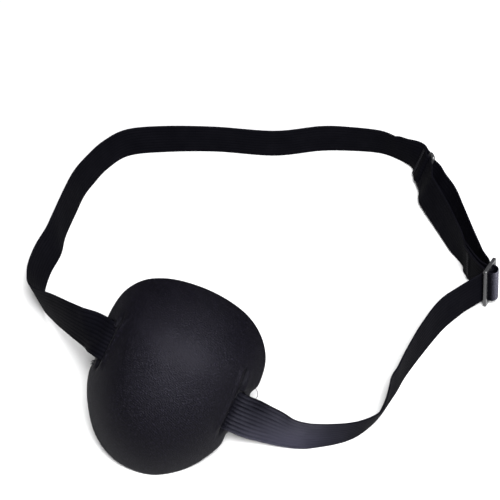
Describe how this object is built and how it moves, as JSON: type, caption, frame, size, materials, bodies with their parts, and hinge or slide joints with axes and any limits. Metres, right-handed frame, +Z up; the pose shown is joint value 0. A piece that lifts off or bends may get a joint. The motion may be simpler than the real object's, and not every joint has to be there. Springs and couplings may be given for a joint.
{
  "type": "eye patch",
  "caption": "Moulded padded eye patch sewn to an elastic head band that shortens with a ring and a three-bar slider.",
  "frame": {"origin": "bottom centre of the whole object's box, on the table it stands on", "axes": "+X to the wearer's right in the picture's view, towards the slider; +Y away from the patch to the back of the head band; +Z up, across the band's width where it stands on its edge"},
  "size_m": [0.2433, 0.2255, 0.059],
  "materials": {
    "cover_cloth": "fine black knit over foam, soft sheen",
    "foam": "soft black foam",
    "lining_cloth": "matte black brushed knit",
    "elastic": "woven black elastic with lengthwise ribs",
    "thread": "black polyester sewing thread",
    "gloss_black": "polished black moulded plastic"
  },
  "bodies": {
    "head_band": {"patch_cover": "cover_cloth", "patch_foam": "foam", "patch_lining": "lining_cloth", "left_seam_thread": "thread", "right_seam_thread": "thread", "back_band": "elastic", "band_end_tack": "thread", "front_strap": "elastic", "front_strap_end": "elastic", "adjuster_outer_run": "elastic", "adjuster_inner_run": "elastic"},
    "ring": {"strap_ring": "gloss_black", "ring_strap_turn": "elastic"},
    "carriage": {"slider_strap_weave": "elastic", "sewn_strap_tail": "elastic", "strap_tail_tack": "thread"},
    "slider": {"slider_frame": "gloss_black"}
  },
  "joints": [
    {"name": "ring_swivel", "type": "hinge", "parent": "head_band", "child": "ring", "pos_m": [0.0912, 0.0834, 0.0122], "axis": [0.2674, 0.0667, 0.9613], "range_deg": [-30, 30], "deforming": ["adjuster_outer_run", "adjuster_inner_run"]},
    {"name": "slider_travel", "type": "slide", "parent": "head_band", "child": "carriage", "axis": [-0.7071, -0.7071, 0], "range_m": [0, 0.03], "deforming": ["front_strap_end", "adjuster_outer_run", "adjuster_inner_run"]},
    {"name": "slider_tilt", "type": "hinge", "parent": "carriage", "child": "slider", "pos_m": [0.1161, -0.0046, 0.013], "axis": [-0.118, 0.0738, 0.9903], "range_deg": [-5, 5]}
  ]
}
